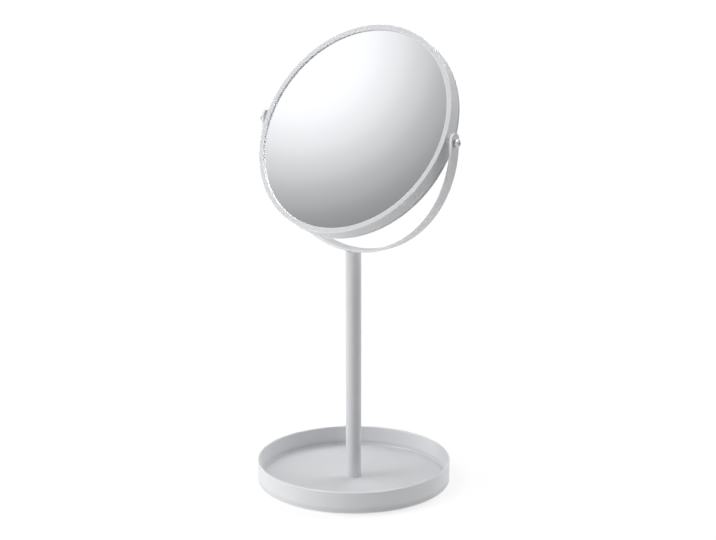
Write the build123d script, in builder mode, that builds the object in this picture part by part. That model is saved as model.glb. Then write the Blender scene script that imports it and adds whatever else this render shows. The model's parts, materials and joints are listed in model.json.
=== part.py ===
from build123d import *

import os
from math import cos, radians, sin

# Table make-up mirror: a round, two-sided mirror head turns in a U-shaped yoke on a pole,
# and the pole stands in the middle of a round, open tray.
# Millimetres. The origin is under the middle of the tray, on the table. +Z is up, the front
# mirror faces -Y and upwards, and the head turns about an axis along X.

# ---- Tray and its soft pad ----
tray_radius = 75.0
tray_wall_height = 17.0       # underside of the tray to the top of the rim
tray_sheet = 1.7              # thickness of the drawn sheet
tray_inner_bend = 1.2         # inside radius between floor and wall
rim_rounding = 0.8
pad_thickness = 0.6           # how far the pad keeps the tray off the table
pad_inset = 7.0               # pad's edge inside the tray's wall
pad_hole_radius = 12.0        # leaves room to reach the base screw

# ---- Pole and its end plugs ----
pole_radius = 6.0
pole_wall = 1.0
foot_plug_length = 16.0
top_plug_length = 14.0
plug_chamfer = 0.6
spigot_radius = 2.6           # top plug's end, riveted into the yoke

# ---- Base screw, countersunk M4 ----
base_screw_radius = 2.0
base_screw_head_radius = 3.8
base_screw_length = 14.0
base_slot_length = 4.4        # cross recess
base_slot_width = 0.9
base_slot_depth = 1.3

# ---- Yoke ----
pivot_height = 275.5          # table to the head's axis
arm_gap = 3.2                 # bezel edge to the inside of a yoke arm
yoke_thickness = 2.2
yoke_width = 9.5
yoke_lean = 2.5               # degrees that the arms lean back
arm_straight = 2.5            # straight run of each arm from its curve up to the axis
arm_rise = 7.2                # arm above the axis, with its round end
yoke_edge_radius = 0.4

# ---- Mirror head, from the front face to the rear face ----
head_tilt = 30.9              # degrees that the front mirror leans back at rest
head_radius = 84.0
bezel_face_width = 4.0        # flat ring seen around each mirror
bezel_thickness = 1.1
bezel_edge_radius = 0.35
bezel_skirt_depth = 2.4       # tongue of the bezel inside the band
bezel_skirt_wall = 0.8
band_step = 0.4               # band lies this far inside the bezels' edge
band_wall = 0.8
glass_thickness = 2.0
glass_bevel = 0.25            # ground edge
front_foam_thickness = 0.8
front_foam_margin = 1.18      # foam's edge inside the carrier's rim
carrier_web = 1.5
carrier_rim_width = 7.6
rear_foam_thickness = 1.1
rear_foam_radius = 25.0
rear_glass_hollow = 3.2       # depth of the magnifying glass at its middle

# ---- Pivots, M3 pan-head screws ----
screw_radius = 1.5
screw_head_radius = 3.05
screw_head_height = 3.2
screw_head_rounding = 1.5
cross_slot_length = 3.2
cross_slot_width = 0.75
cross_slot_depth = 1.5
insert_radius = 2.1
insert_length = 5.6
spacer_radius = 3.0
washer_radius = 3.6
washer_thickness = 0.5
spring_sheet = 0.25           # disc spring
spring_height = 0.5

# ---- Clearances ----
running_clearance = 0.05      # radial, screw in yoke arm, and washer to arm side by side
fit_clearance = 0.02          # radial, pieces pressed or screwed into each other
loose_clearance = 0.3         # pieces that only pass by or locate each other

# ---- Worked out from the sizes above ----
tray_floor_top = pad_thickness + tray_sheet
pad_radius = tray_radius - pad_inset
countersink_drop = base_screw_head_radius - base_screw_radius
pole_bore = pole_radius - pole_wall
plug_radius = pole_bore - fit_clearance

head_thickness = (
    2 * bezel_thickness
    + 2 * glass_thickness
    + front_foam_thickness
    + carrier_web
    + rear_foam_thickness
    + rear_glass_hollow
)
half_head = head_thickness / 2
half_band = half_head - bezel_thickness
band_radius = head_radius - band_step
band_bore = band_radius - band_wall
bezel_opening = head_radius - bezel_face_width
skirt_radius = band_bore - fit_clearance
skirt_bore = skirt_radius - bezel_skirt_wall
glass_radius = skirt_bore - loose_clearance
glass_back = half_band - glass_thickness
web_front = glass_back - front_foam_thickness
web_back = web_front - carrier_web
carrier_radius = band_bore - fit_clearance
carrier_rim_bore = carrier_radius - carrier_rim_width
carrier_rim_half = half_band - bezel_skirt_depth - loose_clearance
front_foam_radius = carrier_rim_bore - front_foam_margin
rear_glass_curve = (bezel_opening**2 + rear_glass_hollow**2) / (2 * rear_glass_hollow)

yoke_inner_radius = head_radius + arm_gap
yoke_outer_radius = yoke_inner_radius + yoke_thickness
arm_reach = yoke_outer_radius + arm_straight
lean = radians(yoke_lean)
yoke_foot_height = pivot_height - arm_reach * cos(lean)
arm_hole_radius = screw_radius + running_clearance

washer_outer = yoke_inner_radius - running_clearance
washer_inner = washer_outer - washer_thickness
spring_inner = washer_inner - spring_height
insert_outer = carrier_radius - fit_clearance
insert_inner = insert_outer - insert_length
shank_hole_radius = screw_radius + fit_clearance

# ---- Planes and axes ----
# Yoke plane: origin where the strip meets the pole, local y up the middle of the yoke.
yoke_plane = Plane(
    origin=(0, 0, yoke_foot_height), x_dir=(1, 0, 0), z_dir=(0, -cos(lean), sin(lean))
)
pivot = Vector(0, arm_reach * sin(lean), pivot_height)
pivot_axis = Axis(pivot, (1, 0, 0))
# Looking at an arm from its side: local y runs up the arm.
arm_side = Plane(origin=pivot, x_dir=(0, cos(lean), -sin(lean)), z_dir=(1, 0, 0))
# Section along the pivot screws: local x is the distance along the axis, local y the radius.
pivot_section = Plane(origin=pivot, x_dir=(1, 0, 0), z_dir=(0, -1, 0))

tilt = radians(head_tilt)
head_mid_plane = Plane(origin=pivot, x_dir=(1, 0, 0), z_dir=(0, -cos(tilt), sin(tilt)))
head_axis = Axis(pivot, (0, -cos(tilt), sin(tilt)))
# Section of the head: local x is the radius, local y runs towards the front mirror.
head_section = Plane(origin=pivot, x_dir=(1, 0, 0), z_dir=(0, -sin(tilt), -cos(tilt)))

os.makedirs("parts", exist_ok=True)


def ring_section(inner, outer, low, high):
    """Rectangle in a section, from an inner to an outer value and from a low to a high one."""
    with Locations(((inner + outer) / 2, (low + high) / 2)):
        Rectangle(outer - inner, high - low)


def cross_recess(length, width):
    """Plus-shaped outline of a screwdriver recess."""
    Rectangle(length, width)
    Rectangle(width, length)


def countersink_section():
    """Half of the cone that takes the base screw's head, with room around it."""
    mouth = base_screw_head_radius + loose_clearance
    Polygon((0, pad_thickness), (mouth, pad_thickness), (0, pad_thickness + mouth), align=None)


# ---- Tray: round dish with a rounded rim ----
with BuildPart() as tray:
    with BuildSketch(Plane.XY.offset(pad_thickness)):
        Circle(tray_radius)
    extrude(amount=tray_wall_height)
    fillet(tray.edges().group_by(Axis.Z)[0], radius=tray_inner_bend + tray_sheet)
    with BuildSketch(Plane.XY.offset(tray_floor_top)):
        Circle(tray_radius - tray_sheet)
    extrude(amount=tray_wall_height, mode=Mode.SUBTRACT)
    floor_edge = tray.faces().filter_by(Plane.XY).sort_by(Axis.Z)[1].edges()
    fillet(floor_edge, radius=tray_inner_bend)
    fillet(tray.edges().group_by(Axis.Z)[-1], radius=rim_rounding)
    with BuildSketch(Plane.XZ):
        countersink_section()
    revolve(axis=Axis.Z, mode=Mode.SUBTRACT)
    with BuildSketch(Plane.XY.offset(pad_thickness)):
        Circle(base_screw_radius + loose_clearance)
    extrude(amount=tray_wall_height, mode=Mode.SUBTRACT)
tray.part.label = "tray"
export_step(tray.part, "parts/tray.step")

with BuildPart() as base_pad:
    with BuildSketch(Plane.XY):
        Circle(pad_radius)
        Circle(pad_hole_radius, mode=Mode.SUBTRACT)
    extrude(amount=pad_thickness)
base_pad.part.label = "base_pad"
export_step(base_pad.part, "parts/base_pad.step")

# ---- Pole, coped at the top to lie against the yoke ----
with BuildPart() as pole:
    with BuildSketch(Plane.XY.offset(tray_floor_top)):
        Circle(pole_radius)
        Circle(pole_bore, mode=Mode.SUBTRACT)
    extrude(amount=yoke_foot_height + yoke_thickness - tray_floor_top)
    with BuildSketch(yoke_plane):
        with Locations((0, yoke_outer_radius)):
            Circle(yoke_outer_radius)
    extrude(amount=2 * pole_radius, both=True, mode=Mode.SUBTRACT)
pole.part.label = "pole"
export_step(pole.part, "parts/pole.step")

with BuildPart() as pole_foot_plug:
    with BuildSketch(Plane.XY.offset(tray_floor_top)):
        Circle(plug_radius)
    extrude(amount=foot_plug_length)
    chamfer(pole_foot_plug.edges().group_by(Axis.Z)[-1], length=plug_chamfer)
    with BuildSketch(Plane.XY.offset(tray_floor_top)):
        Circle(base_screw_radius + fit_clearance)
    extrude(amount=foot_plug_length, mode=Mode.SUBTRACT)
    with BuildSketch(Plane.XZ):
        countersink_section()
    revolve(axis=Axis.Z, mode=Mode.SUBTRACT)
pole_foot_plug.part.label = "pole_foot_plug"
export_step(pole_foot_plug.part, "parts/pole_foot_plug.step")

with BuildPart() as pole_top_plug:
    with BuildSketch(Plane.XY.offset(yoke_foot_height - top_plug_length)):
        Circle(plug_radius)
    extrude(amount=top_plug_length + yoke_thickness)
    chamfer(pole_top_plug.edges().group_by(Axis.Z)[0], length=plug_chamfer)
    with BuildSketch(yoke_plane):
        with Locations((0, yoke_outer_radius)):
            Circle(yoke_outer_radius)
    extrude(amount=2 * pole_radius, both=True, mode=Mode.SUBTRACT)
    with BuildSketch(Plane.XY.offset(yoke_foot_height - top_plug_length / 2)):
        Circle(spigot_radius)
    extrude(amount=top_plug_length / 2 + 2 * yoke_thickness)
    with BuildSketch(yoke_plane):
        with Locations((0, yoke_outer_radius)):
            Circle(yoke_inner_radius)
    extrude(amount=2 * pole_radius, both=True, mode=Mode.SUBTRACT)
pole_top_plug.part.label = "pole_top_plug"
export_step(pole_top_plug.part, "parts/pole_top_plug.step")

# ---- Base screw, up through the tray into the foot plug ----
with BuildPart() as base_screw:
    with BuildSketch(Plane.XZ):
        Polygon(
            (0, pad_thickness),
            (base_screw_head_radius, pad_thickness),
            (base_screw_radius, pad_thickness + countersink_drop),
            (base_screw_radius, pad_thickness + base_screw_length),
            (0, pad_thickness + base_screw_length),
            align=None,
        )
    revolve(axis=Axis.Z)
    with BuildSketch(Plane.XY.offset(pad_thickness)):
        cross_recess(base_slot_length, base_slot_width)
    extrude(amount=base_slot_depth, mode=Mode.SUBTRACT)
base_screw.part.label = "base_screw"
export_step(base_screw.part, "parts/base_screw.step")

# ---- Yoke: one flat strip, bent to a half circle with straight, round-ended arms ----
with BuildPart() as yoke:
    with BuildSketch(yoke_plane):
        with Locations((0, yoke_outer_radius)):
            Circle(yoke_outer_radius)
            Rectangle(2 * yoke_outer_radius, arm_reach, align=(Align.CENTER, Align.MIN))
            Circle(yoke_inner_radius, mode=Mode.SUBTRACT)
            Rectangle(
                2 * yoke_inner_radius,
                2 * arm_reach,
                align=(Align.CENTER, Align.MIN),
                mode=Mode.SUBTRACT,
            )
    extrude(amount=yoke_width, both=True)
    with BuildSketch(arm_side):
        with Locations((0, arm_rise - yoke_width / 2)):
            Circle(yoke_width / 2)
            Rectangle(yoke_width, 2 * arm_reach, align=(Align.CENTER, Align.MAX))
    extrude(amount=2 * yoke_outer_radius, both=True, mode=Mode.INTERSECT)
    seams = Axis(pivot, yoke_plane.z_dir)
    strip_edges = yoke.edges().filter_by(Axis.X, reverse=True).filter_by(seams, reverse=True)
    fillet(strip_edges, radius=yoke_edge_radius)
    with BuildSketch(arm_side):
        Circle(arm_hole_radius)
    extrude(amount=2 * yoke_outer_radius, both=True, mode=Mode.SUBTRACT)
    with BuildSketch(Plane.XY.offset(yoke_foot_height - yoke_thickness)):
        Circle(spigot_radius + fit_clearance)
    extrude(amount=4 * yoke_thickness, mode=Mode.SUBTRACT)
yoke.part.label = "yoke"
export_step(yoke.part, "parts/yoke.step")

# ---- Head: hoop, and the two bezels pressed into it ----
with BuildPart() as head_band:
    with BuildSketch(head_section):
        ring_section(band_bore, band_radius, -half_band, half_band)
    revolve(axis=head_axis)
    with BuildSketch(arm_side):
        Circle(screw_radius + loose_clearance)
    extrude(amount=2 * head_radius, both=True, mode=Mode.SUBTRACT)
head_band.part.label = "head_band"
export_step(head_band.part, "parts/head_band.step")

with BuildPart() as front_bezel:
    with BuildSketch(head_section):
        ring_section(bezel_opening, head_radius, half_band, half_head)
        ring_section(skirt_bore, skirt_radius, half_band - bezel_skirt_depth, half_head)
    revolve(axis=head_axis)
    fillet(front_bezel.edges().group_by(head_axis)[-1], radius=bezel_edge_radius)
front_bezel.part.label = "front_bezel"
export_step(front_bezel.part, "parts/front_bezel.step")

with BuildPart() as rear_bezel:
    add(front_bezel.part)
    mirror(about=head_mid_plane, mode=Mode.REPLACE)
rear_bezel.part.label = "rear_bezel"
export_step(rear_bezel.part, "parts/rear_bezel.step")

# ---- Glasses: flat in front, hollow at the rear ----
with BuildPart() as front_mirror:
    with BuildSketch(head_mid_plane.offset(glass_back)):
        Circle(glass_radius)
    extrude(amount=glass_thickness)
    chamfer(front_mirror.edges().filter_by(GeomType.CIRCLE), length=glass_bevel)
front_mirror.part.label = "front_mirror"
export_step(front_mirror.part, "parts/front_mirror.step")

with BuildPart() as rear_mirror:
    with BuildSketch(head_section):
        with BuildLine():
            Polyline(
                (bezel_opening, -half_band),
                (glass_radius, -half_band),
                (glass_radius, -glass_back),
                (bezel_opening, -glass_back),
            )
            RadiusArc(
                (bezel_opening, -glass_back),
                (0, rear_glass_hollow - glass_back),
                -rear_glass_curve,
            )
            Line((0, rear_glass_hollow - glass_back), (0, rear_glass_hollow - half_band))
            RadiusArc(
                (0, rear_glass_hollow - half_band),
                (bezel_opening, -half_band),
                rear_glass_curve,
            )
        make_face()
    revolve(axis=head_axis)
rear_mirror.part.label = "rear_mirror"
export_step(rear_mirror.part, "parts/rear_mirror.step")

# ---- Inside the head: foam discs and the moulded carrier between the glasses ----
with BuildPart() as front_foam:
    with BuildSketch(head_mid_plane.offset(web_front)):
        Circle(front_foam_radius)
    extrude(amount=front_foam_thickness)
front_foam.part.label = "front_foam"
export_step(front_foam.part, "parts/front_foam.step")

with BuildPart() as rear_foam:
    with BuildSketch(head_mid_plane.offset(web_back)):
        Circle(rear_foam_radius)
    extrude(amount=-rear_foam_thickness)
rear_foam.part.label = "rear_foam"
export_step(rear_foam.part, "parts/rear_foam.step")

with BuildPart() as mirror_carrier:
    with BuildSketch(head_section):
        ring_section(0, carrier_rim_bore + carrier_web, web_back, web_front)
        ring_section(carrier_rim_bore, carrier_radius, -carrier_rim_half, carrier_rim_half)
        ring_section(bezel_opening, glass_radius, -glass_back, glass_back)
    revolve(axis=head_axis)
    for side in (1, -1):
        with BuildSketch(arm_side.offset(side * insert_inner)):
            Circle(insert_radius + fit_clearance)
        extrude(amount=side * head_radius, mode=Mode.SUBTRACT)
mirror_carrier.part.label = "mirror_carrier"
export_step(mirror_carrier.part, "parts/mirror_carrier.step")


def turned_pair(name, *corners):
    """Turn an outline about the pivot axis, mirror it to the other arm and save the pair."""
    with BuildPart() as pair:
        with BuildSketch(pivot_section):
            Polygon(*corners, align=None)
        revolve(axis=pivot_axis)
        mirror(about=Plane.YZ)
    pair.part.label = name
    export_step(pair.part, f"parts/{name}.step")


# ---- Pivots, one set on each arm, from the middle of the head outwards ----
turned_pair(
    "pivot_inserts",
    (insert_inner, shank_hole_radius),
    (insert_outer, shank_hole_radius),
    (insert_outer, insert_radius),
    (insert_inner, insert_radius),
)
turned_pair(
    "pivot_spacers",
    (band_radius, shank_hole_radius),
    (spring_inner, shank_hole_radius),
    (spring_inner, spacer_radius),
    (band_radius, spacer_radius),
)
turned_pair(
    "disc_springs",
    (spring_inner, shank_hole_radius),
    (spring_inner + spring_sheet, shank_hole_radius),
    (washer_inner, spacer_radius),
    (washer_inner - spring_sheet, spacer_radius),
)
turned_pair(
    "friction_washers",
    (washer_inner, shank_hole_radius),
    (washer_outer, shank_hole_radius),
    (washer_outer, washer_radius),
    (washer_inner, washer_radius),
)

with BuildPart() as pivot_screws:
    with BuildSketch(pivot_section):
        ring_section(insert_inner, yoke_outer_radius + screw_head_height, 0, screw_radius)
        ring_section(yoke_outer_radius, yoke_outer_radius + screw_head_height, 0, screw_head_radius)
    revolve(axis=pivot_axis)
    fillet(pivot_screws.edges().group_by(Axis.X)[-1], radius=screw_head_rounding)
    with BuildSketch(arm_side.offset(yoke_outer_radius + screw_head_height)):
        cross_recess(cross_slot_length, cross_slot_width)
    extrude(amount=-cross_slot_depth, mode=Mode.SUBTRACT)
    mirror(about=Plane.YZ)
pivot_screws.part.label = "pivot_screws"
export_step(pivot_screws.part, "parts/pivot_screws.step")
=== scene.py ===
import json
import math

import bmesh
import bpy
import numpy as np
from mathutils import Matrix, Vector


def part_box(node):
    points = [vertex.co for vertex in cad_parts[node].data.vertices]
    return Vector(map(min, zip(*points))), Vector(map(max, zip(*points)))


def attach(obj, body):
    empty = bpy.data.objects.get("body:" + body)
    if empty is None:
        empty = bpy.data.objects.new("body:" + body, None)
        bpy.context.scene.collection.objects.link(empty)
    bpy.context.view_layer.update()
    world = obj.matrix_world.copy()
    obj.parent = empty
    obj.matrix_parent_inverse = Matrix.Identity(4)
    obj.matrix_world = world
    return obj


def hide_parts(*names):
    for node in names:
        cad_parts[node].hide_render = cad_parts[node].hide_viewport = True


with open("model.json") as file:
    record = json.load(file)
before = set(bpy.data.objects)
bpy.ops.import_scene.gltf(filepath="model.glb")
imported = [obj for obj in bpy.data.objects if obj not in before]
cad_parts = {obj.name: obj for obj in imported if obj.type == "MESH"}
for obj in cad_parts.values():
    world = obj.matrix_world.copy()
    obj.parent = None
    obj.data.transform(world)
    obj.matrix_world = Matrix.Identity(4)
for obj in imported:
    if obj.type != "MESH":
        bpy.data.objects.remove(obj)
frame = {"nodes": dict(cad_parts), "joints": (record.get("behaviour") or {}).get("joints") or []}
bpy.context.view_layer.update()

bl_info = {
    "name": "Table make-up mirror",
    "version": (1, 0, 0),
    "blender": (4, 5, 0),
    "location": "3D View > Sidebar > Mirror",
    "description": "Builds the powder-coated pieces, the glasses and the studio of a table make-up mirror",
    "category": "Object",
}

# Sizes are metres. Front is -Y, +Z is up, and the head turns about an axis along X.
PIVOT = np.array(frame["joints"][0]["pos_m"], float)
AXLE = PIVOT * [0, 1, 1]    # the point of the pivot axis in the middle plane
X_AXIS, Z_AXIS = (1, 0, 0), (0, 0, 1)


# ---------------------------------------------------------------- sizes and finishes

class TraySizes(bpy.types.PropertyGroup):
    radius: bpy.props.FloatProperty(
        name="Tray radius", description="Outside of the wall", default=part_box("tray")[1].x, unit="LENGTH")
    underside: bpy.props.FloatProperty(
        name="Underside", description="Height of the sheet above the table",
        default=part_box("tray")[0].z, unit="LENGTH")
    rim: bpy.props.FloatProperty(
        name="Rim height", description="Table to the top of the rim", default=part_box("tray")[1].z,
        unit="LENGTH")
    sheet: bpy.props.FloatProperty(
        name="Sheet", description="Thickness of the drawn steel", default=0.0017, unit="LENGTH")
    bend: bpy.props.FloatProperty(
        name="Inside bend", description="Radius between floor and wall", default=0.0012, unit="LENGTH")
    countersink: bpy.props.FloatProperty(
        name="Countersink", description="Mouth radius of the screw's seat", default=0.0041, unit="LENGTH")


class YokeSizes(bpy.types.PropertyGroup):
    foot: bpy.props.FloatProperty(
        name="Foot height", description="Table to the underside of the strip, over the pole",
        default=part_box("yoke")[0].z + 0.00019, unit="LENGTH")
    lean: bpy.props.FloatProperty(
        name="Lean", description="How far the arms lean back", default=math.radians(2.5), unit="ROTATION")
    bend: bpy.props.FloatProperty(
        name="Inside radius", description="Bend of the strip, to its inner face", default=0.0872,
        unit="LENGTH")
    thickness: bpy.props.FloatProperty(
        name="Thickness", description="Thickness of the strip", default=0.0022, unit="LENGTH")
    width: bpy.props.FloatProperty(
        name="Width", description="Width of the strip", default=0.0095, unit="LENGTH")
    straight: bpy.props.FloatProperty(
        name="Straight run", description="Arm from the end of the bend to the pivot", default=0.0025,
        unit="LENGTH")
    rise: bpy.props.FloatProperty(
        name="Arm above pivot", description="Pivot to the tip of the round end", default=0.0072,
        unit="LENGTH")
    edge: bpy.props.FloatProperty(
        name="Edge rounding", description="Radius on the long edges", default=0.0004, unit="LENGTH")
    hole: bpy.props.FloatProperty(
        name="Pivot hole", description="Radius of the hole in each arm", default=0.00155, unit="LENGTH")


class HeadSizes(bpy.types.PropertyGroup):
    tilt: bpy.props.FloatProperty(
        name="Tilt", description="How far the front glass leans back at rest",
        default=math.radians(30.9), unit="ROTATION")
    radius: bpy.props.FloatProperty(
        name="Head radius", description="Outside of the two bezels", default=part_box("front_bezel")[1].x,
        unit="LENGTH")
    thickness: bpy.props.FloatProperty(
        name="Head thickness", description="Face to face", default=0.0128, unit="LENGTH")
    face: bpy.props.FloatProperty(
        name="Bezel face", description="Width of the ring seen round each glass", default=0.004,
        unit="LENGTH")
    lip: bpy.props.FloatProperty(
        name="Bezel thickness", description="Thickness of the ring's lip", default=0.0011, unit="LENGTH")
    band: bpy.props.FloatProperty(
        name="Hoop radius", description="Outside of the hoop", default=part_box("head_band")[1].x,
        unit="LENGTH")
    wall: bpy.props.FloatProperty(
        name="Hoop wall", description="Thickness of the hoop's steel", default=0.0008, unit="LENGTH")
    glass: bpy.props.FloatProperty(
        name="Glass thickness", description="Thickness of both glasses", default=0.002, unit="LENGTH")
    hollow: bpy.props.FloatProperty(
        name="Rear hollow", description="Depth of the magnifying glass", default=0.0032, unit="LENGTH")


class ScrewSizes(bpy.types.PropertyGroup):
    head: bpy.props.FloatProperty(
        name="Head radius", description="Outside of the pan head", default=0.00305, unit="LENGTH")
    height: bpy.props.FloatProperty(
        name="Head height", description="Seat to the top of the head", default=0.0032, unit="LENGTH")
    shoulder: bpy.props.FloatProperty(
        name="Shoulder", description="Rounding of the head's edge", default=0.0015, unit="LENGTH")
    shank: bpy.props.FloatProperty(
        name="Shank radius", description="Outside of the shank", default=0.0015, unit="LENGTH")
    tip: bpy.props.FloatProperty(
        name="Tip", description="Middle plane to the end of the shank", default=0.07716, unit="LENGTH")
    cross: bpy.props.FloatProperty(
        name="Cross", description="Middle to the end of each arm of the recess", default=0.00165,
        unit="LENGTH")
    slot: bpy.props.FloatProperty(
        name="Slot", description="Half the width of the recess's arms", default=0.0004, unit="LENGTH")
    depth: bpy.props.FloatProperty(
        name="Recess depth", description="How far the cross is sunk", default=0.0014, unit="LENGTH")
    slope: bpy.props.FloatProperty(
        name="Recess slope", description="Run of the recess's sloping sides", default=0.00022, unit="LENGTH")


class Finishes(bpy.types.PropertyGroup):
    coat: bpy.props.FloatVectorProperty(
        name="Coat", description="Colour of the powder coat", subtype="COLOR", size=3,
        default=(0.838, 0.846, 0.866), min=0, max=1)
    silver: bpy.props.FloatVectorProperty(
        name="Silvering", description="Tint of the mirror glass", subtype="COLOR", size=3,
        default=(0.95, 0.96, 0.985), min=0, max=1)
    # The screws' colour is set far darker than bare steel: a painted dark reflection of the surroundings.
    steel: bpy.props.FloatVectorProperty(
        name="Screw steel", description="Colour of the bare screws", subtype="COLOR", size=3,
        default=(0.09, 0.09, 0.093), min=0, max=1)
    nylon: bpy.props.FloatVectorProperty(
        name="Nylon", description="Colour of spacers and washers", subtype="COLOR", size=3,
        default=(0.74, 0.745, 0.74), min=0, max=1)


class StudioLights(bpy.types.PropertyGroup):
    brightness: bpy.props.FloatProperty(
        name="Lamps", description="Share of full power of all the soft lamps", default=1.0, min=0,
        subtype="FACTOR")
    room: bpy.props.FloatProperty(
        name="Room light", description="Strength of the even light from all round", default=0.01, min=0,
        subtype="FACTOR")
    table: bpy.props.FloatProperty(
        name="Lit table", description="Light the table gives off by itself, near the mirror", default=0.24,
        min=0, subtype="FACTOR")


# The soft lamps: azimuth (0 in front, 90 on +X) and elevation in degrees, width in metres, power in watts.
LAMPS = {
    "left_low": (-43, 9, 1.2, 10.4),
    "left_high": (-56, 49, 1.3, 8.2),
    "front": (0, 25, 1.2, 4.8),
    "right_low": (145, 7, 1.2, 9.6),
    "back": (178, 44, 1.3, 8.8),
    "overhead": (0, 89, 1.4, 2.6),
}
LAMP_DISTANCE, LAMP_TARGET = 1.6, (0, 0, 0.17)

# What gloss sees round it. The soft light's brightness at each angle, in degrees, from its middle:
SOFT_LIGHT_WAY = (-0.62967, -0.46912, 0.61923)
SOFT_LIGHT = [(0.0, 1.12), (2.0, 1.06), (2.7, 0.96), (3.6, 0.79), (4.5, 0.585), (5.4, 0.405), (6.3, 0.28),
              (7.5, 0.22), (11.0, 0.2), (20.0, 0.24), (40.0, 0.4)]
# The brightness of the horizon and of the light overhead, and the heights of a unit ray where they fade.
HORIZON, HORIZON_FADE = 0.95, (0.12, 0.4)
OVERHEAD, OVERHEAD_FADE = 6.0, (0.77, 0.88)

# The camera: lens in mm, turns in degrees, and its place sideways, away and up from the object in metres.
LENS, TURN, PITCH, ROLL, YAW = 87.924, 37.362, 14.303, 0.004, -0.034
CAMERA_SIDE, CAMERA_AWAY, CAMERA_UP = 0.004198, 1.288806, 0.497206


# ---------------------------------------------------------------- surfaces

def rounded(corners, radii, steps=6):
    """Closed outline with round corners, as an array of points and an edge mask.

    At a corner P the arc starts and ends t = r / tan(h) away from it, where h is half of the
    corner's angle, and its centre lies r / sin(h) along the bisector. Points on the arc turn
    evenly from one end to the other. A point outside each end, a quarter of r away or less on a
    short flat, keeps the flats flat. The mask is 1 on the arcs and 0 on the flats.
    """
    p = np.asarray(corners, float)
    r = np.asarray(radii, float)[:, None]
    u = np.roll(p, 1, 0) - p
    w = np.roll(p, -1, 0) - p
    u /= np.linalg.norm(u, axis=1, keepdims=True)
    w /= np.linalg.norm(w, axis=1, keepdims=True)
    h = np.arccos(np.clip((u * w).sum(1, keepdims=True), -1, 1)) / 2
    t = r / np.tan(h)
    bisector = (u + w) / np.linalg.norm(u + w, axis=1, keepdims=True)
    centre = p + bisector * r / np.sin(h)
    a, b = p + u * t - centre, p + w * t - centre
    sweep = (np.pi - 2 * h)[:, None]
    s = np.linspace(0, 1, steps)[None, :, None]
    arc = (np.sin((1 - s) * sweep) * a[:, None] + np.sin(s * sweep) * b[:, None]) / np.sin(sweep)
    arc += centre[:, None]
    room = np.linalg.norm(np.roll(p, -1, 0) - p, axis=1, keepdims=True) - t - np.roll(t, -1, 0)
    after = np.minimum(0.25 * r, 0.4 * room)
    before = np.minimum(0.25 * r, 0.4 * np.roll(room, 1, 0))
    start, end = p + u * (t + before), p + w * (t + after)
    points = np.concatenate([start[:, None], arc, end[:, None]], 1)
    mask = np.ones(points.shape[:2])
    mask[:, 0] = mask[:, -1] = 0
    return points.reshape(-1, 2), mask.ravel()


def grid_quads(rows, columns, wrap_rows, wrap_columns):
    """Corner numbers of every quad of a rows x columns grid, joined end to start where it wraps."""
    i = np.arange(rows if wrap_rows else rows - 1)[:, None]
    j = np.arange(columns if wrap_columns else columns - 1)[None, :]
    i2, j2 = (i + 1) % rows, (j + 1) % columns
    corners = [i * columns + j, i * columns + j2, i2 * columns + j2, i2 * columns + j]
    return np.stack(corners, -1).reshape(-1, 4)


def outward(points, quads):
    """Turns every quad over if the volume inside, summed as corner triple products, is negative."""
    a, b, c, d = (points[quads[:, k]] for k in range(4))
    volume = (np.cross(a, b) * c).sum() + (np.cross(a, c) * d).sum()
    return quads if volume > 0 else quads[:, ::-1]


def piece(name, parts, body, material, nodes=()):
    """Makes one mesh piece from (points, quads, edge mask) parts, welds poles and seams, and lets it ride."""
    offset, all_points, all_quads, all_edges = 0, [], [], []
    for points, quads, edge in parts:
        flat = points.reshape(-1, 3)
        all_points.append(flat)
        all_quads.append(outward(flat, quads) + offset)
        all_edges.append(np.broadcast_to(edge, points.shape[:-1]).ravel())
        offset += len(flat)
    points, quads = np.concatenate(all_points), np.concatenate(all_quads)
    mesh = bpy.data.meshes.new(name)
    mesh.vertices.add(len(points))
    mesh.vertices.foreach_set("co", points.ravel())
    mesh.loops.add(quads.size)
    mesh.loops.foreach_set("vertex_index", quads.ravel().astype(np.int32))
    mesh.polygons.add(len(quads))
    mesh.polygons.foreach_set("loop_start", np.arange(0, quads.size, 4, dtype=np.int32))
    mesh.polygons.foreach_set("use_smooth", np.ones(len(quads), bool))
    mesh.update(calc_edges=True)
    edge_masks = mesh.attributes.new("edge", "FLOAT", "POINT")
    edge_masks.data.foreach_set("value", np.concatenate(all_edges).astype(np.float32))
    work = bmesh.new()
    work.from_mesh(mesh)
    bmesh.ops.remove_doubles(work, verts=work.verts, dist=1e-6)
    bmesh.ops.dissolve_degenerate(work, edges=work.edges, dist=1e-7)
    work.to_mesh(mesh)
    work.free()
    mesh.validate()
    mesh.materials.append(material)
    made = bpy.data.objects.new(name, mesh)
    bpy.context.scene.collection.objects.link(made)
    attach(made, body)
    if nodes:
        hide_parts(*nodes)
    return made


def turned(outline, mask, centre, axis, turns=256, closed=True):
    """Outline of (radius, height) turned about an axis.

    A point is centre + height * axis + radius * (cos(angle) * side + sin(angle) * across), where side and
    across are square to the axis. An open outline starts and ends on the axis, at radius 0.
    """
    axis = np.asarray(axis, float) / np.linalg.norm(axis)
    side = np.array([1.0, 0, 0]) if abs(axis[0]) < 0.9 else np.array([0, 1.0, 0])
    across = np.cross(axis, side)
    angle = np.linspace(0, 2 * np.pi, turns, endpoint=False)
    ring = np.cos(angle)[:, None] * side + np.sin(angle)[:, None] * across
    points = centre + outline[:, 1, None, None] * axis + outline[:, 0, None, None] * ring
    return points, grid_quads(len(outline), turns, closed, True), mask[:, None]


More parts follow.
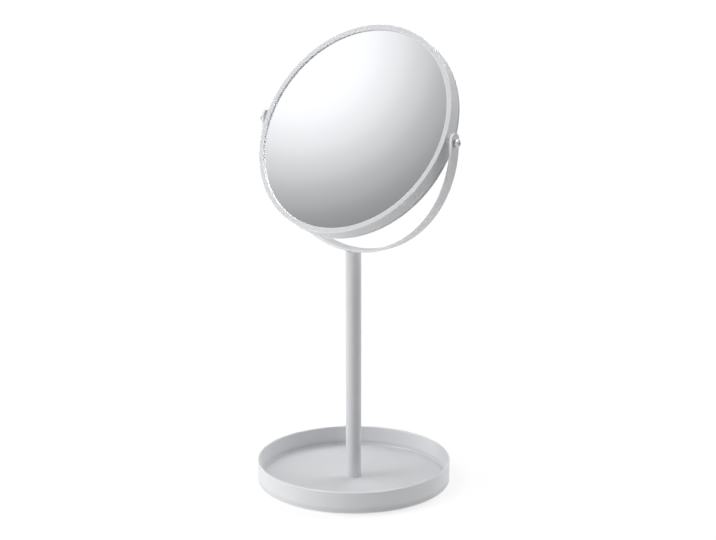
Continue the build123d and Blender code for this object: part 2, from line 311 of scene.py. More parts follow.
def strip_path(s, y):
    """Carries points of the yoke's flat strip on to its bent path.

    s runs along the strip from its middle and y across it. Up to a quarter turn each way it is an arc of the
    strip's middle radius, x = R sin(s/R) and up = C - R cos(s/R); past that it runs straight up. The outward
    direction is (sin, -cos) on the arc and (1, 0) or (-1, 0) on the arms. Returns place and outward.
    """
    z = bpy.context.scene.yoke_sizes
    middle = z.bend + z.thickness / 2
    centre_up = z.bend + z.thickness
    quarter = middle * np.pi / 2
    turn = np.clip(s, -quarter, quarter) / middle
    past = np.abs(s) - quarter
    x = middle * np.sin(turn)
    up = centre_up - middle * np.cos(turn) + np.maximum(past, 0)
    upward = np.array([0, math.sin(z.lean), math.cos(z.lean)])
    forward = np.array([0, -math.cos(z.lean), math.sin(z.lean)])
    origin = np.array([0, 0, z.foot])
    place = origin + x[..., None] * [1, 0, 0] + up[..., None] * upward + y[..., None] * forward
    out = np.sin(turn)[..., None] * [1, 0, 0] - np.cos(turn)[..., None] * upward
    return place, out


def yoke_strip():
    """Flat strip with round ends and a hole in each, bent to a U.

    Round the strip's flat outline, each point has an edge profile: in from the middle of the inner face,
    round the edge with a small radius, and back in over the outer face. On its way in, a point makes for
    the middle line, and near an end for the rim of the pivot hole, whose wall joins the two faces there.
    """
    z = bpy.context.scene.yoke_sizes
    half = (z.bend + z.thickness / 2) * np.pi / 2 + z.straight + z.rise
    hole_at = half - z.rise
    end_at = half - z.width / 2
    run = np.linspace(-end_at, end_at, 260)
    turn = np.linspace(-np.pi / 2, np.pi / 2, 33)[1:-1]
    along = np.concatenate([run, end_at + 0 * turn, run[::-1], -end_at + 0 * turn])
    direction = np.concatenate([
        np.stack([0 * run, 0 * run - 1], 1), np.stack([np.cos(turn), np.sin(turn)], 1),
        np.stack([0 * run, 0 * run + 1], 1), np.stack([-np.cos(turn), -np.sin(turn)], 1)])
    outline = np.stack([along, 0 * along], 1) + direction * z.width / 2
    # Where each outline point heads for, on the middle line or on the rim of a hole.
    s, y = outline[:, 0], outline[:, 1]
    size, sign = np.abs(s), np.sign(s)
    below = hole_at - size
    angle = np.where(below < 0, np.arctan2(np.abs(y), np.minimum(size - hole_at, z.width)),
                     np.pi / 2 * (1 + np.clip(below / z.width, 0, 1)))
    rim = np.stack([sign * (hole_at + z.hole * np.cos(angle)), np.sign(y) * z.hole * np.sin(angle)], 1)
    fade = np.clip(1 - (below - z.width) / 0.03, 0, 1)
    middle = np.stack([sign * (size + (z.width - z.hole) * fade), 0 * s], 1)
    at_hole = below <= z.width
    target = np.where(at_hole[:, None], rim, middle)
    # The edge profile: how far in from the outline, and the height through the thickness.
    r, k = z.edge, z.thickness / 2
    bend = np.linspace(0, np.pi / 2, 5)
    inset = np.concatenate([[1.6 * r], r - r * np.sin(bend), r - r * np.cos(bend), [1.6 * r]])
    level = np.concatenate([[-k], -k + r - r * np.cos(bend), k - r + r * np.sin(bend), [k]])
    edge = np.concatenate([[0], np.ones(10), [0]])
    flat = outline[:, None, :] - inset[None, :, None] * direction[:, None, :]
    height = np.broadcast_to(level, flat.shape[:2])
    steps = np.array([1, 0.66, 0.33])[None, :, None]
    first, last = flat[:, :1], flat[:, -1:]
    goal = target[:, None]
    flat = np.concatenate([first + (goal - first) * steps, flat, last + (goal - last) * steps[:, ::-1]], 1)
    height = np.concatenate([np.full((len(s), 3), -k), height, np.full((len(s), 3), k)], 1)
    edge = np.concatenate([[0, 0, 0], edge, [0, 0, 0]])
    place, out = strip_path(flat[..., 0], flat[..., 1])
    points = place + height[..., None] * out
    rows, columns = points.shape[:2]
    quads = grid_quads(rows, columns, True, False)
    i = np.flatnonzero(at_hole | np.roll(at_hole, -1))
    j = (i + 1) % rows
    wall = np.stack([i * columns + columns - 1, i * columns, j * columns, j * columns + columns - 1], 1)
    return points, np.concatenate([quads, wall]), edge[None, :]


def screw_surface(side):
    """Pan-head screw with a cross recess, on the arm at +X (side 1) or -X (side -1).

    The outline runs from the middle of the head's top, over its rounded shoulder, under the head and down
    the shank, and is turned about the pivot axis. Inside a plus sign, the top is sunk by
    depth * clip(inside / slope, 0, 1), where inside is the distance in from the plus sign's edge.
    """
    z, yoke = bpy.context.scene.screw_sizes, bpy.context.scene.yoke_sizes
    seat = yoke.bend + yoke.thickness
    flat = np.linspace(0, z.head - z.shoulder, 30)
    bend = np.linspace(0, np.pi / 2, 10)[1:]
    r = np.concatenate([flat, z.head - z.shoulder + z.shoulder * np.sin(bend),
                        [z.head, z.head - 0.0001, z.shank + 0.0002]])
    x = np.concatenate([0 * flat + z.height, z.height - z.shoulder + z.shoulder * np.cos(bend),
                        [0.0001, 0, 0]])
    x += seat
    ridge = np.linspace(seat, z.tip, 24)
    r = np.concatenate([r, 0 * ridge + z.shank, [z.shank - 0.0004, 0]])
    x = np.concatenate([x, ridge, [z.tip, z.tip]])
    outline = np.stack([r, side * x], 1)
    points, quads, edge = turned(outline, 0 * r, AXLE, X_AXIS, turns=144, closed=False)
    a = np.abs(points[..., 1] - PIVOT[1])
    b = np.abs(points[..., 2] - PIVOT[2])
    inside = np.maximum(np.minimum(z.cross - a, z.slot - b), np.minimum(z.cross - b, z.slot - a))
    sunk = np.arange(len(r))[:, None] < len(flat) + 4
    points[..., 0] -= side * np.where(sunk, z.depth * np.clip(inside / z.slope, 0, 1), 0)
    return points, quads, edge


# ---------------------------------------------------------------- node helpers

class Nodes:
    """Short hand for adding and joining nodes in one tree."""

    def __init__(self, tree):
        self.tree = tree

    def add(self, kind, inputs=None, **settings):
        node = self.tree.nodes.new(kind)
        for key, value in settings.items():
            setattr(node, key, value)
        for key, value in (inputs or {}).items():
            if isinstance(value, bpy.types.NodeSocket):
                self.tree.links.new(value, node.inputs[key])
            else:
                node.inputs[key].default_value = value
        return node

    def math(self, operation, a, b=0.0, clamp=False):
        return self.add("ShaderNodeMath", {0: a, 1: b}, operation=operation, use_clamp=clamp).outputs[0]

    def mix(self, factor, a, b):
        node = self.add("ShaderNodeMix", {0: factor, 6: a, 7: b}, data_type="RGBA")
        return node.outputs[2]

    def vector(self, operation, a, b=(0, 0, 0)):
        return self.add("ShaderNodeVectorMath", {0: a, 1: b}, operation=operation).outputs

    def fade(self, value, span, first, last, curve="SMOOTHSTEP"):
        """Value that goes smoothly from first to last over a span of the input."""
        return self.add("ShaderNodeMapRange", {
            "Value": value, "From Min": span[0], "From Max": span[1], "To Min": first, "To Max": last},
            interpolation_type=curve).outputs[0]

    def noise(self, place, scale, detail=2.0, roughness=0.5):
        node = self.add("ShaderNodeTexNoise", {"Vector": place, "Scale": scale, "Detail": detail,
                                               "Roughness": roughness})
        return node.outputs["Fac"]

    def place(self):
        return self.add("ShaderNodeTexCoord").outputs["Object"]


def new_group(name, inputs, outputs):
    """Empty shader group with named sockets. Returns the group, its node helper and both end nodes."""
    tree = bpy.data.node_groups.new(name, "ShaderNodeTree")
    for label, kind, value in inputs:
        socket = tree.interface.new_socket(label, in_out="INPUT", socket_type=kind)
        if value is not None:
            socket.default_value = value
    for label, kind in outputs:
        tree.interface.new_socket(label, in_out="OUTPUT", socket_type=kind)
    n = Nodes(tree)
    return tree, n, n.add("NodeGroupInput"), n.add("NodeGroupOutput")


FLOAT, VECTOR = "NodeSocketFloat", "NodeSocketVector"


def coat_grain_group():
    """Height and tone of a fine orange-peel surface: a fine and a coarse noise, weighted and added."""
    tree, n, start, end = new_group(
        "coat_grain",
        [("Place", VECTOR, None), ("Fine scale", FLOAT, 1100.0), ("Coarse scale", FLOAT, 260.0)],
        [("Height", FLOAT), ("Tone", FLOAT)])
    fine = n.noise(start.outputs["Place"], start.outputs["Fine scale"], 2.0, 0.6)
    coarse = n.noise(start.outputs["Place"], start.outputs["Coarse scale"], 1.0)
    height = n.math("ADD", n.math("MULTIPLY", fine, 0.6), n.math("MULTIPLY", coarse, 0.4))
    tree.links.new(height, end.inputs["Height"])
    tree.links.new(n.math("SUBTRACT", height, 0.5), end.inputs["Tone"])
    return tree


def edge_wear_group():
    """Mask of rubbed edges: the piece's edge attribute, broken up by a noise. Edge is the plain attribute,
    which the powder coat uses for a painted highlight.
    """
    tree, n, start, end = new_group(
        "edge_wear", [("Place", VECTOR, None), ("Amount", FLOAT, 0.3), ("Scale", FLOAT, 140.0)],
        [("Mask", FLOAT), ("Edge", FLOAT)])
    edge = n.add("ShaderNodeAttribute", attribute_type="GEOMETRY", attribute_name="edge").outputs["Fac"]
    noise = n.noise(start.outputs["Place"], start.outputs["Scale"], 3.0)
    patches = n.math("MULTIPLY", n.math("SUBTRACT", noise, 0.42, True), 4.0, True)
    mask = n.math("MULTIPLY", n.math("MULTIPLY", edge, patches), start.outputs["Amount"], True)
    tree.links.new(mask, end.inputs["Mask"])
    tree.links.new(edge, end.inputs["Edge"])
    return tree


def handling_group():
    """Mask of faint marks from handling: a stretched noise times a broad one."""
    tree, n, start, end = new_group(
        "handling", [("Place", VECTOR, None), ("Scale", FLOAT, 40.0)], [("Mask", FLOAT)])
    longer = n.add("ShaderNodeMapping", {"Vector": start.outputs["Place"], "Scale": (1.0, 0.25, 0.6)})
    streaks = n.noise(longer.outputs[0], n.math("MULTIPLY", start.outputs["Scale"], 6.0), 4.0, 0.6)
    broad = n.noise(start.outputs["Place"], start.outputs["Scale"], 2.0)
    mask = n.math("MULTIPLY", n.math("MULTIPLY", streaks, broad), 2.0, True)
    tree.links.new(mask, end.inputs["Mask"])
    return tree


def turning_group():
    """Rings left by turning round the X axis: a sine of the distance from the axis, roughened by noise."""
    tree, n, start, end = new_group(
        "turning_rings", [("Place", VECTOR, None), ("Pitch", FLOAT, 0.00012)], [("Height", FLOAT)])
    split = n.add("ShaderNodeSeparateXYZ", {0: start.outputs["Place"]})
    y, z = split.outputs["Y"], split.outputs["Z"]
    far = n.math("SQRT", n.math("ADD", n.math("MULTIPLY", y, y), n.math("MULTIPLY", z, z)))
    waves = n.math("SINE", n.math("DIVIDE", n.math("MULTIPLY", far, 2 * math.pi), start.outputs["Pitch"]))
    rough = n.noise(start.outputs["Place"], 2500.0, 3.0)
    height = n.math("ADD", n.math("MULTIPLY", waves, 0.35), rough)
    tree.links.new(height, end.inputs["Height"])
    return tree


def new_material(name, **fixed):
    """Material with one Principled shader whose even values are set on its own sockets."""
    material = bpy.data.materials.new(name)
    material.use_nodes = True
    material.node_tree.nodes.clear()
    n = Nodes(material.node_tree)
    out = n.add("ShaderNodeOutputMaterial")
    shader = n.add("ShaderNodeBsdfPrincipled")
    for key, value in fixed.items():
        shader.inputs[key.replace("_", " ")].default_value = value
    n.tree.links.new(shader.outputs[0], out.inputs["Surface"])
    return material, n, shader


def grouped(n, group, **inputs):
    node = n.add("ShaderNodeGroup")
    node.node_tree = bpy.data.node_groups[group]
    for key, value in inputs.items():
        socket = node.inputs[key.replace("_", " ")]
        if isinstance(value, bpy.types.NodeSocket):
            n.tree.links.new(value, socket)
        else:
            socket.default_value = value
    return node


def bump(n, height, distance, strength=1.0):
    return n.add("ShaderNodeBump", {"Height": height, "Distance": distance, "Strength": strength}).outputs[0]


def scaled(colour, k):
    return tuple(min(1.0, c * k) for c in colour[:3]) + (1.0,)


def powder_coat(name, share, corner=None):
    """Satin powder coat: fine orange peel, faint tone and gloss changes, lighter and glossier edges.

    The edges are lighter in part from rubbed wear and in part from a painted highlight along every rounded
    edge. Share is how much of the coat's colour it keeps; below 1 it makes a darker copy of the coat, painted
    shade. Where a corner is given as (radius, height), painted shade darkens the coat round that circle about
    the Z axis. Its mask falls to 0 at a distance of 5 mm from the circle, and the
    distance is sqrt((r - radius)^2 + (z - height)^2).
    """
    colour = scaled(bpy.context.scene.mirror_finishes.coat, share)
    material, n, shader = new_material(name)
    place = n.place()
    grain = grouped(n, "coat_grain", Place=place)
    edge_masks = grouped(n, "edge_wear", Place=place, Amount=0.75)
    marks = grouped(n, "handling", Place=place, Scale=30.0)
    cloud = n.noise(place, 18.0, 2.0)
    tone = n.mix(cloud, scaled(colour, 0.985), scaled(colour, 1.012))
    peel = n.math("MULTIPLY", n.math("ADD", grain.outputs["Tone"], 0.5), 0.12)
    tone = n.mix(peel, tone, scaled(colour, 0.93))
    # Lighter edges: the noise-broken mask is rubbed wear, the plain edge term is a painted highlight on every
    # rounded edge.
    wear_and_highlight = n.math("ADD", n.math("MULTIPLY", edge_masks.outputs["Edge"], 0.6),
                    n.math("MULTIPLY", edge_masks.outputs["Mask"], 0.5), True)
    tone = n.mix(wear_and_highlight, tone, scaled(colour, 1.13))
    # Painted shade: the coat darkens round the corner circle, where shade falls between floor and wall.
    if corner:
        radius, height = corner
        part = n.add("ShaderNodeSeparateXYZ", {0: place})
        flat = n.add("ShaderNodeCombineXYZ", {0: part.outputs["X"], 1: part.outputs["Y"]}).outputs[0]
        r = n.vector("LENGTH", flat)["Value"]
        off = n.add("ShaderNodeCombineXYZ", {0: n.math("SUBTRACT", r, radius),
                                             1: n.math("SUBTRACT", part.outputs["Z"], height)}).outputs[0]
        corner_shade = n.fade(n.vector("LENGTH", off)["Value"], (0, 0.005), 0.3, 0.0, "SMOOTHERSTEP")
        tone = n.mix(n.math("MULTIPLY", corner_shade, n.math("ADD", cloud, 0.5)), tone, scaled(colour, 0.45))
    rough = n.math("ADD", 0.44, n.math("MULTIPLY", marks.outputs["Mask"], 0.12))
    rough = n.math("SUBTRACT", rough, n.math("MULTIPLY", wear_and_highlight, 0.22))
    gloss = n.math("ADD", 0.45, n.math("MULTIPLY", wear_and_highlight, 1.1), True)
    n.tree.links.new(tone, shader.inputs["Base Color"])
    n.tree.links.new(rough, shader.inputs["Roughness"])
    n.tree.links.new(gloss, shader.inputs["Specular IOR Level"])
    n.tree.links.new(bump(n, grain.outputs["Height"], 0.000007, 0.7), shader.inputs["Normal"])
    return material


def silvering(name):
    """Silvered glass: a clean mirror, with faint wiping haze and a slightly greener, duller ground edge."""
    colour = bpy.context.scene.mirror_finishes.silver
    material, n, shader = new_material(name, Metallic=1.0)
    place = n.place()
    haze = grouped(n, "handling", Place=place, Scale=22.0).outputs["Mask"]
    edge = grouped(n, "edge_wear", Place=place, Amount=1.0, Scale=90.0).outputs["Mask"]
    tone = n.mix(n.math("MULTIPLY", haze, 0.25), scaled(colour, 1.0), scaled(colour, 0.985))
    tone = n.mix(n.math("MULTIPLY", edge, 0.6), tone, (0.62, 0.7, 0.67, 1))
    rough = n.math("ADD", n.math("MULTIPLY", haze, 0.012), n.math("MULTIPLY", edge, 0.2))
    n.tree.links.new(tone, shader.inputs["Base Color"])
    n.tree.links.new(rough, shader.inputs["Roughness"])
    return material


def bare_metal(name, colour, roughness, rings=True):
    """Plain metal with turning rings or a fine rolled grain, and slightly uneven gloss."""
    material, n, shader = new_material(name, Metallic=1.0)
    place = n.place()
    middle = n.add("ShaderNodeMapping", {"Vector": place, "Location": (0, -PIVOT[1], -PIVOT[2])}).outputs[0]
    marks = grouped(n, "handling", Place=place, Scale=300.0).outputs["Mask"]
    if rings:
        height = grouped(n, "turning_rings", Place=middle).outputs["Height"]
    else:
        rolled = grouped(n, "coat_grain", Place=place, Fine_scale=4000.0, Coarse_scale=900.0)
        height = rolled.outputs["Height"]
    tone = n.mix(marks, scaled(colour, 0.9), scaled(colour, 1.08))
    n.tree.links.new(tone, shader.inputs["Base Color"])
    n.tree.links.new(n.math("ADD", roughness, n.math("MULTIPLY", marks, 0.12)), shader.inputs["Roughness"])
    n.tree.links.new(bump(n, height, 0.00001, 0.5), shader.inputs["Normal"])
    return material


def soft_material(name, colour, roughness, scale, depth, cells=False):
    """Moulded plastic, nylon, rubber or foam: a pebbled grain or open cells, with tone changes."""
    material, n, shader = new_material(name, Specular_IOR_Level=0.4)
    place = n.place()
    if cells:
        height = n.add("ShaderNodeTexVoronoi", {"Vector": place, "Scale": scale}).outputs["Distance"]
    else:
        pebbled = grouped(n, "coat_grain", Place=place, Fine_scale=scale, Coarse_scale=scale / 5)
        height = pebbled.outputs["Height"]
    cloud = n.noise(place, 60.0, 2.0)
    tone = n.mix(cloud, scaled(colour, 0.94), scaled(colour, 1.05))
    tone = n.mix(n.math("MULTIPLY", height, 0.15), tone, scaled(colour, 0.8))
    n.tree.links.new(tone, shader.inputs["Base Color"])
    n.tree.links.new(n.math("ADD", roughness, n.math("MULTIPLY", cloud, 0.1)), shader.inputs["Roughness"])
    n.tree.links.new(bump(n, height, depth, 0.6), shader.inputs["Normal"])
    return material


def dress(node, material):
    """Gives a carried-over CAD node its finished material."""
    for slot in frame["nodes"][node].material_slots:
        slot.material = material


# ---------------------------------------------------------------- one operator for each piece or group

class BuildFinishes(bpy.types.Operator):
    """Make the shared effects and the materials"""
    bl_idname = "make_up_mirror.finishes"
    bl_label = "Finishes"

    def execute(self, context):
        z = context.scene.mirror_finishes
        coat_grain_group()
        edge_wear_group()
        handling_group()
        turning_group()
        powder_coat("powder_coat", 1.0)
        # The pole's coat is a darker copy of the same coat: painted shade.
        powder_coat("shaded_pole_coat", 0.955)
        t = context.scene.tray_sizes
        # The tray's coat carries painted shade in the corner between floor and wall.
        powder_coat("tray_coat", 1.0, corner=(t.radius - t.sheet, t.underside + t.sheet))
        silvering("front_silvering")
        silvering("rear_silvering")
        # Screw steel with its colour darkened: painted dark reflection.
        bare_metal("screw_steel", z.steel, 0.16)
        bare_metal("turned_steel", (0.5, 0.5, 0.51), 0.3, rings=False)
        bare_metal("spring_steel", (0.4, 0.4, 0.41), 0.3)
        bare_metal("insert_brass", (0.72, 0.52, 0.24), 0.28)
        soft_material("nylon", z.nylon, 0.5, 1500.0, 0.00002)
        soft_material("carrier_plastic", (0.035, 0.036, 0.038), 0.55, 900.0, 0.00005)
        soft_material("foam", (0.55, 0.55, 0.53), 0.9, 1600.0, 0.0002, cells=True)
        soft_material("pad_rubber", (0.05, 0.05, 0.052), 0.75, 1200.0, 0.00008)
        return {"FINISHED"}


class BuildTray(bpy.types.Operator):
    """Turn the tray's dish with its rounded rim, and dress the pad and screw under it"""
    bl_idname = "make_up_mirror.tray"
    bl_label = "Tray"

    def execute(self, context):
        z = context.scene.tray_sizes
        floor, inner = z.underside + z.sheet, z.radius - z.sheet
        sharp, rim = 0.00005, 0.00084
        corners = [(z.countersink, z.underside), (z.radius, z.underside), (z.radius, z.rim), (inner, z.rim),
                   (inner, floor), (z.countersink - z.sheet, floor)]
        radii = [sharp, z.bend, rim, rim, z.bend, sharp]
        made = turned(*rounded(corners, radii, steps=9), (0, 0, 0), Z_AXIS, turns=320)
        tray = piece("tray_dish", [made], "stand", bpy.data.materials["tray_coat"], ["tray"])
        dress("base_pad", bpy.data.materials["pad_rubber"])
        dress("base_screw", bpy.data.materials["screw_steel"])
        return {"FINISHED"}


class BuildPole(bpy.types.Operator):
    """Stand the pole on the tray and shape its top to lie against the yoke, with the plug inside it"""
    bl_idname = "make_up_mirror.pole"
    bl_label = "Pole"

    def execute(self, context):
        z, t = context.scene.yoke_sizes, context.scene.tray_sizes
        low, radius, wall, cope = t.underside + t.sheet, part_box("pole")[1].x, 0.001, 0.004
        bore = radius - wall
        corners = [(bore, low), (radius, low), (radius, z.foot), (bore, z.foot)]
        outline, mask = rounded(corners, [0.0002, 0.00035, 0.00025, 0.0002])
        points, quads, edge = turned(outline, mask, (0, 0, 0), Z_AXIS, turns=128)
        # The tube's last 4 mm are raised to meet the strip's outer face, which is R - sqrt(R^2 - x^2) above
        # its lowest point, less the lean of that face, y tan(lean).
        outer = z.bend + z.thickness
        x, y = points[..., 0], points[..., 1]
        rise = (outer - np.sqrt(outer ** 2 - x ** 2)) / math.cos(z.lean) - y * math.tan(z.lean)
        share = np.clip((points[..., 2] - z.foot + cope) / cope, 0, 1)
        points[..., 2] += rise * share
        pole = piece("pole_tube", [(points, quads, edge)], "stand", bpy.data.materials["shaded_pole_coat"], ["pole"])
        # The plug is a round bar with a spigot, which ends under the coat of the yoke's inner face.
        bar, spigot, chamfer = bore - 0.00002, 0.0026, 0.0006
        bottom, top = z.foot - 0.014, z.foot + z.thickness - 0.0008
        outline = np.array([(0, bottom), (bar - chamfer, bottom), (bar, bottom + chamfer),
                            (bar, z.foot - 0.0006), (spigot, z.foot - 0.0005), (spigot, top - 0.00012),
                            (spigot - 0.00004, top - 0.00004), (spigot - 0.00012, top), (0, top + 0.00005)])
        made = turned(outline, np.zeros(len(outline)), (0, 0, 0), Z_AXIS, turns=64, closed=False)
        plug = piece("top_plug", [made], "stand", bpy.data.materials["turned_steel"], ["pole_top_plug"])
        dress("pole_foot_plug", bpy.data.materials["turned_steel"])
        return {"FINISHED"}


class BuildYoke(bpy.types.Operator):
    """Bend the round-ended strip to a U with a pivot hole in each arm"""
    bl_idname = "make_up_mirror.yoke"
    bl_label = "Yoke"

    def execute(self, context):
        yoke = piece("yoke_strip", [yoke_strip()], "stand", bpy.data.materials["powder_coat"], ["yoke"])
        return {"FINISHED"}


class BuildHead(bpy.types.Operator):
    """Turn the hoop and the two bezels of the head about the head's own axis"""
    bl_idname = "make_up_mirror.head"
    bl_label = "Hoop and bezels"

    def execute(self, context):
        z = context.scene.head_sizes
        coat = bpy.data.materials["powder_coat"]
        axis = (0, -math.cos(z.tilt), math.sin(z.tilt))
        half = z.thickness / 2
        step = half - z.lip
        bore = z.band - z.wall
        seam = step - 0.00022    # leaves a fine groove between hoop and bezels
        hoop = turned(*rounded([(bore, -seam), (z.band, -seam), (z.band, seam), (bore, seam)],
                               [0.0001, 0.00025, 0.00025, 0.0001], steps=5), PIVOT, axis, turns=360)
        made = piece("head_hoop", [hoop], "head", coat, ["head_band"])
        skirt, opening = bore - 0.00002, z.radius - z.face
        inner, deep = skirt - z.wall, step - 0.0024
        corners = np.array([(opening, half), (z.radius, half), (z.radius, step), (skirt, step),
                            (skirt, deep), (inner, deep), (inner, step), (opening, step)])
        radii = [0.0004, 0.0004, 0.0003, 0.00005, 0.0001, 0.0001, 0.00005, 0.0002]
        outline, mask = rounded(corners, radii)
        for name, node, way in (("bezel_front", "front_bezel", 1), ("bezel_rear", "rear_bezel", -1)):
            ring = turned(outline * [1, way], mask, PIVOT, axis, turns=360)
            made = piece(name, [ring], "head", coat, [node])
        return {"FINISHED"}


class BuildGlasses(bpy.types.Operator):
    """Set the flat front glass and the hollow rear glass behind their bezels"""
    bl_idname = "make_up_mirror.glasses"
    bl_label = "Glasses"

    def execute(self, context):
        z = context.scene.head_sizes
        axis = (0, -math.cos(z.tilt), math.sin(z.tilt))
        step = z.thickness / 2 - z.lip
        radius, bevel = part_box("front_mirror")[1].x, 0.0003
        face, back = step - 0.0003, step - z.glass
        outline = np.array([(0, face), (radius * 0.5, face), (radius - 2 * bevel, face),
                            (radius - bevel, face), (radius, face - bevel), (radius, back), (0, back)])
        mask = np.array([0, 0, 0, 1, 1, 1, 0])
        made = piece("front_glass", [turned(outline, mask, PIVOT, axis, turns=256, closed=False)], "head",
                     bpy.data.materials["front_silvering"], ["front_mirror"])
        # Rear glass: its depth falls with the square of the radius, from the hollow's depth to nothing.
        opening = z.radius - z.face
        r = np.linspace(0, opening, 60)
        bowl = z.hollow * (1 - (r / opening) ** 2) - face
        r = np.concatenate([r, [radius - bevel, radius, radius], r[::-1]])
        h = np.concatenate([bowl, [-face, -face + bevel, -back], bowl[::-1] + face - back])
        mask = np.concatenate([0 * bowl, [1, 1, 1], 0 * bowl])
        outline = np.stack([r, h], 1)
        made = piece("rear_glass", [turned(outline, mask, PIVOT, axis, turns=256, closed=False)], "head",
                     bpy.data.materials["rear_silvering"], ["rear_mirror"])
        dress("mirror_carrier", bpy.data.materials["carrier_plastic"])
        for node in ("front_foam", "rear_foam"):
            dress(node, bpy.data.materials["foam"])
        return {"FINISHED"}


class BuildPivots(bpy.types.Operator):
    """Turn the screws, spacers and washers of both pivots, and dress the springs and inserts"""
    bl_idname = "make_up_mirror.pivots"
    bl_label = "Pivots"

    def execute(self, context):
        z = context.scene.yoke_sizes
        screws = [screw_surface(1), screw_surface(-1)]
        made = piece("pivot_screw_pair", screws, "head", bpy.data.materials["screw_steel"], ["pivot_screws"])
        bore = 0.00152
        for name, node, low, high, radius in (
                ("spacer_pair", "pivot_spacers", 0.0836, 0.08615, 0.003),
                ("washer_pair", "friction_washers", z.bend - 0.00055, z.bend - 0.00005, 0.0036)):
            outline, mask = rounded([(bore, low), (radius, low), (radius, high), (bore, high)],
                                    [0.00004, 0.00015, 0.00015, 0.00004], steps=4)
            pair = [turned(outline * [1, way], mask, AXLE, X_AXIS, turns=96) for way in (1, -1)]
            made = piece(name, pair, "head", bpy.data.materials["nylon"], [node])
        dress("disc_springs", bpy.data.materials["spring_steel"])
        dress("pivot_inserts", bpy.data.materials["insert_brass"])
        return {"FINISHED"}


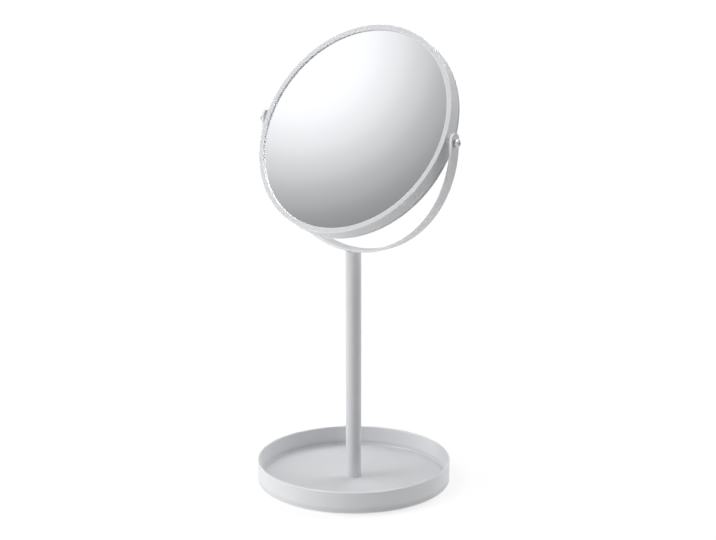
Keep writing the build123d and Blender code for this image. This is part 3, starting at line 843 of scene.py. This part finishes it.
class BuildStudio(bpy.types.Operator):
    """Set the pale floor, the soft lights, the room and the camera"""
    bl_idname = "make_up_mirror.studio"
    bl_label = "Studio"

    def execute(self, context):
        z = context.scene.studio_lights
        self.floor(z.table)
        self.world(context, z.room)
        for name, (azimuth, elevation, size, power) in LAMPS.items():
            self.lamp(name, azimuth, elevation, size, power * z.brightness)
        self.camera(context)
        context.scene.view_settings.view_transform = "Standard"
        return {"FINISHED"}

    def floor(self, lit):
        """Large flat disc under the mirror: rings of growing radius, turned about Z. Near the mirror it keeps
        soft shadows, broad ones and a tight one at the pad; further out it goes over to plain white."""
        r = np.concatenate([[0], np.geomspace(0.05, 4.0, 24)])
        outline = np.stack([r, 0 * r - 0.00002], 1)
        points, quads, _ = turned(outline, 0 * r, (0, 0, 0), Z_AXIS, turns=96, closed=False)
        material = bpy.data.materials.new("floor_paper")
        material.cycles.emission_sampling = "NONE"
        material.use_nodes = True
        material.node_tree.nodes.clear()
        n = Nodes(material.node_tree)
        out = n.add("ShaderNodeOutputMaterial")
        place = n.place()
        tone = n.mix(n.noise(place, 3.0), (0.86, 0.86, 0.86, 1), (0.88, 0.88, 0.88, 1))
        far = n.vector("LENGTH", place)["Value"]
        near = n.math("ADD", n.fade(far, (0.12, 0.4), 0.27, 0.0), n.fade(far, (0.074, 0.092), 0.4, 0.0))
        sheet = n.add("ShaderNodeBsdfDiffuse", {"Color": tone})
        shine = n.fade(far, (0.1, 0.32), lit, 0.0)
        own = n.add("ShaderNodeEmission", {"Color": (1, 1, 1, 1), "Strength": shine})
        paper = n.add("ShaderNodeAddShader", {0: sheet.outputs[0], 1: own.outputs[0]})
        seen = n.add("ShaderNodeBsdfDiffuse", {"Color": n.mix(near, (0, 0, 0, 1), tone)})
        white = n.math("SUBTRACT", 1.03, n.math("MULTIPLY", near, 0.65))
        glow = n.add("ShaderNodeEmission", {"Color": (1, 1, 1, 1), "Strength": white})
        both = n.add("ShaderNodeAddShader", {0: seen.outputs[0], 1: glow.outputs[0]})
        mixed = n.add("ShaderNodeMixShader", {0: self.looked_at(n), 1: paper.outputs[0], 2: both.outputs[0]})
        n.tree.links.new(mixed.outputs[0], out.inputs["Surface"])
        mesh = bpy.data.meshes.new("floor")
        mesh.from_pydata(points.reshape(-1, 3), [], quads[:, ::-1].tolist())
        work = bmesh.new()
        work.from_mesh(mesh)
        bmesh.ops.remove_doubles(work, verts=work.verts, dist=1e-6)
        bmesh.ops.recalc_face_normals(work, faces=work.faces)
        work.to_mesh(mesh)
        work.free()
        mesh.materials.append(material)
        floor = bpy.data.objects.new("floor", mesh)
        bpy.context.scene.collection.objects.link(floor)

    def looked_at(self, n):
        """1 for camera, glossy and transmission rays, 0 for the rest."""
        path = n.add("ShaderNodeLightPath")
        seen = n.math("ADD", path.outputs["Is Camera Ray"], path.outputs["Is Glossy Ray"], True)
        return n.math("ADD", seen, path.outputs["Is Transmission Ray"], True)

    def world(self, context, room):
        """White behind the object. What gloss sees is a studio: a soft light high on the left whose
        brightness falls with the angle from its middle, a pale horizon, and a strong light overhead."""
        world = bpy.data.worlds.new("studio")
        context.scene.world = world
        world.use_nodes = True
        world.node_tree.nodes.clear()
        n = Nodes(world.node_tree)
        out = n.add("ShaderNodeOutputWorld")
        way = n.add("ShaderNodeTexCoord").outputs["Generated"]
        dot = n.vector("DOT_PRODUCT", way, SOFT_LIGHT_WAY)["Value"]
        angle = n.math("ARCCOSINE", n.math("MINIMUM", dot, 1.0))
        brightest, reach = SOFT_LIGHT[0][1], SOFT_LIGHT[-1][0]
        ramp = n.add("ShaderNodeValToRGB", {0: n.math("DIVIDE", angle, math.radians(reach))})
        ramp.color_ramp.interpolation = "CARDINAL"
        stops = ramp.color_ramp.elements
        while len(stops) < len(SOFT_LIGHT):
            stops.new(0.5)
        for stop, (degrees, level) in zip(stops, SOFT_LIGHT):
            stop.position = degrees / reach
            stop.color = (level / brightest, level / brightest, level / brightest, 1)
        soft = n.add("ShaderNodeVectorMath", {0: ramp.outputs[0], "Scale": brightest}, operation="SCALE")
        height = n.add("ShaderNodeSeparateXYZ", {0: way}).outputs["Z"]
        gloss = n.mix(n.fade(height, HORIZON_FADE, 1.0, 0.0), soft.outputs[0], (HORIZON, HORIZON, HORIZON, 1))
        gloss = n.mix(n.fade(height, OVERHEAD_FADE, 0.0, 1.0), gloss, (OVERHEAD, OVERHEAD, OVERHEAD, 1))
        path = n.add("ShaderNodeLightPath")
        shiny = n.math("ADD", path.outputs["Is Glossy Ray"], path.outputs["Is Transmission Ray"], True)
        colour = n.mix(shiny, (1, 1, 1, 1), gloss)
        unseen = n.math("SUBTRACT", 1.0, self.looked_at(n))
        colour = n.mix(unseen, colour, (room * 0.985, room * 0.995, room * 1.01, 1))
        light = n.add("ShaderNodeBackground", {"Color": colour, "Strength": 1.0})
        n.tree.links.new(light.outputs[0], out.inputs["Surface"])

    def lamp(self, name, azimuth, elevation, size, power):
        """Round soft light that faces the middle of the object."""
        a, e = math.radians(azimuth), math.radians(elevation)
        back = np.array([math.sin(a) * math.cos(e), -math.cos(a) * math.cos(e), math.sin(e)])
        data = bpy.data.lights.new(name, "AREA")
        data.shape, data.size, data.energy = "DISK", size, power
        lamp = bpy.data.objects.new(name, data)
        bpy.context.scene.collection.objects.link(lamp)
        lamp.location = LAMP_TARGET + back * LAMP_DISTANCE
        lamp.rotation_mode = "QUATERNION"
        lamp.rotation_quaternion = (-Vector(back)).to_track_quat("-Z", "Y")
        lamp.visible_camera = False
        lamp.visible_glossy = False

    def camera(self, context):
        """Camera at the photograph's angle: a place round the object, and a turn from pitch, roll and yaw."""
        data = bpy.data.cameras.new("camera")
        data.sensor_fit, data.sensor_width, data.lens = "HORIZONTAL", 36.0, LENS
        data.clip_start, data.clip_end = 0.05, 20.0
        camera = bpy.data.objects.new("camera", data)
        context.scene.collection.objects.link(camera)
        turn, pitch, roll, yaw = (math.radians(v) for v in (TURN, PITCH, ROLL, YAW))
        camera.location = (CAMERA_SIDE * math.cos(turn) + CAMERA_AWAY * math.sin(turn),
                           CAMERA_SIDE * math.sin(turn) - CAMERA_AWAY * math.cos(turn), CAMERA_UP)
        camera.rotation_euler = (math.pi / 2 - pitch, roll, turn - yaw)
        context.scene.camera = camera


class MirrorPanel(bpy.types.Panel):
    """Lists the make-up mirror's pieces, sizes and finishes"""
    bl_label = "Make-up mirror"
    bl_idname = "VIEW3D_PT_make_up_mirror"
    bl_space_type = "VIEW_3D"
    bl_region_type = "UI"
    bl_category = "Mirror"

    def draw(self, context):
        layout = self.layout
        for step in STEPS:
            layout.operator(step.bl_idname, text=step.bl_label)
        for group in GROUPS:
            box = layout.box()
            values = getattr(context.scene, group)
            for key in values.__annotations__:
                box.prop(values, key)


STEPS = (BuildFinishes, BuildTray, BuildPole, BuildYoke, BuildHead, BuildGlasses, BuildPivots, BuildStudio)
GROUPS = {"tray_sizes": TraySizes, "yoke_sizes": YokeSizes, "head_sizes": HeadSizes,
          "screw_sizes": ScrewSizes, "mirror_finishes": Finishes, "studio_lights": StudioLights}


def register():
    for group in GROUPS.values():
        bpy.utils.register_class(group)
    for name, group in GROUPS.items():
        setattr(bpy.types.Scene, name, bpy.props.PointerProperty(type=group))
    for step in STEPS + (MirrorPanel,):
        bpy.utils.register_class(step)


def unregister():
    for step in (MirrorPanel,) + STEPS[::-1]:
        bpy.utils.unregister_class(step)
    for name in GROUPS:
        delattr(bpy.types.Scene, name)
    for group in GROUPS.values():
        bpy.utils.unregister_class(group)


def main():
    register()
    bpy.ops.make_up_mirror.finishes()
    bpy.ops.make_up_mirror.tray()
    bpy.ops.make_up_mirror.pole()
    bpy.ops.make_up_mirror.yoke()
    bpy.ops.make_up_mirror.head()
    bpy.ops.make_up_mirror.glasses()
    bpy.ops.make_up_mirror.pivots()
    bpy.ops.make_up_mirror.studio()
    bpy.context.view_layer.update()


if __name__ == "__main__":
    main()
